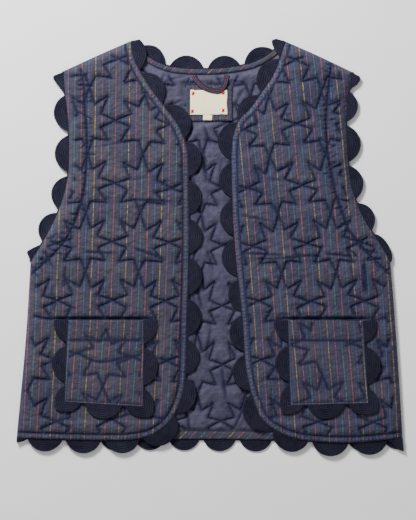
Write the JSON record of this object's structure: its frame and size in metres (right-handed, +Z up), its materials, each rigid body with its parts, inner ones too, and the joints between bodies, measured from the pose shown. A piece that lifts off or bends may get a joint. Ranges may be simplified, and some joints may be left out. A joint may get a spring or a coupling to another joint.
{
  "type": "quilted vest",
  "caption": "Sleeveless open-front quilted vest laid flat, fronts over the back, with scalloped trim on its edges and patch pockets, and a hanging loop inside the neck.",
  "frame": {"origin": "on the flat underside of the back panel, on its middle line, about halfway between hem and neck", "axes": "+Z up off the surface it lies on, +Y from the hem to the neck, +X to the right as seen from above"},
  "size_m": [0.5026, 0.5492, 0.0099],
  "materials": {
    "shell": "quilted yarn-dyed cotton, matt, with thin coloured stripes",
    "lining": "plain slate-blue cotton with a faint sheen, quilted",
    "trim": "matt corded scallop trim, near black navy",
    "label": "cream woven cotton"
  },
  "bodies": {
    "root": {"back": "lining", "front_left": "shell", "front_right": "shell", "pocket_left": "shell", "pocket_right": "shell", "facing_neck": "shell", "facing_hem": "shell", "loop_hanger": "shell", "patch_label": "shell", "label_main": "label", "label_size": "label", "trim_front_left": "trim", "trim_front_right": "trim", "trim_neck_back": "trim", "trim_hem_back": "trim", "trim_armhole_left_front": "trim", "trim_armhole_left_back": "trim", "trim_armhole_right_front": "trim", "trim_armhole_right_back": "trim", "trim_pocket_left": "trim", "trim_pocket_right": "trim"}
  },
  "joints": []
}
